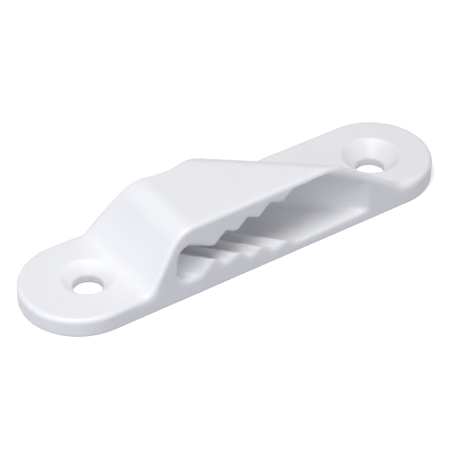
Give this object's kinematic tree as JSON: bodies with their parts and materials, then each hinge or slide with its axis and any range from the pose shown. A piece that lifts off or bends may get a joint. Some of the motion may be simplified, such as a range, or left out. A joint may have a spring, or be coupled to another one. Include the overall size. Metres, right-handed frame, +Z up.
{
  "type": "side-entry jam cleat",
  "caption": "Low one-piece moulded jam cleat: a stadium base plate with countersunk screw holes and a raised block whose toothed jaws grip a rope laid in from the side.",
  "frame": {"origin": "centre of the underside; the pair of screw holes is centred 0.4 mm towards +X", "axes": "+X along the cleat from the ramp end to the low end, -Y towards the side where the rope is laid in, +Z up from the mounting surface"},
  "size_m": [0.082, 0.0212, 0.0147],
  "materials": {
    "white_nylon": "satin moulded nylon"
  },
  "bodies": {
    "root": {"cleat_body": "white_nylon"}
  },
  "joints": []
}
